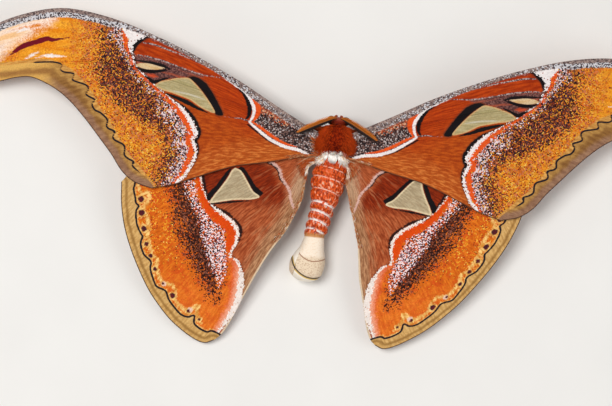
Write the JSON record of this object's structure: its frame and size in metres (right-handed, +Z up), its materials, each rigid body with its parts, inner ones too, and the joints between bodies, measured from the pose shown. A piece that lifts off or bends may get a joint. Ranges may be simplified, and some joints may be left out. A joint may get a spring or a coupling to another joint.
{
  "type": "atlas moth model",
  "caption": "Life-size still model of an atlas moth resting on six feet, with hooked, banded wings spread flat.",
  "frame": {"origin": "middle of the box's foot: on the floor under the middle of the spread wings", "axes": "+X from the moth's left wing tip to its right, +Y towards the head, +Z up from the floor"},
  "size_m": [0.2476, 0.1064, 0.0197],
  "materials": {
    "head": "dense dark red-brown fur",
    "eye": "glossy dark compound eye",
    "palp": "pink-brown short fur",
    "antenna": "orange-brown comb, matte",
    "thorax": "dark red-brown fur, orange at the sides",
    "abdomen": "rust-orange fur with white rings",
    "abdomen_tip": "bare cream skin, faintly glossy",
    "leg": "red-brown fur",
    "forewing": "fine matte scales, rust-orange with white, black and pink bands",
    "hindwing": "fine matte scales, rust-orange with white, black and pink bands"
  },
  "bodies": {
    "root": {"abdomen": "abdomen", "abdomen_tip": "abdomen_tip", "antenna_left": "antenna", "antenna_right": "antenna", "eye_left": "eye", "eye_right": "eye", "forewing_left": "forewing", "forewing_right": "forewing", "head": "head", "hindwing_left": "hindwing", "hindwing_right": "hindwing", "leg_front_left": "leg", "leg_front_right": "leg", "leg_hind_left": "leg", "leg_hind_right": "leg", "leg_mid_left": "leg", "leg_mid_right": "leg", "palp_left": "palp", "palp_right": "palp", "thorax": "thorax"}
  },
  "joints": []
}
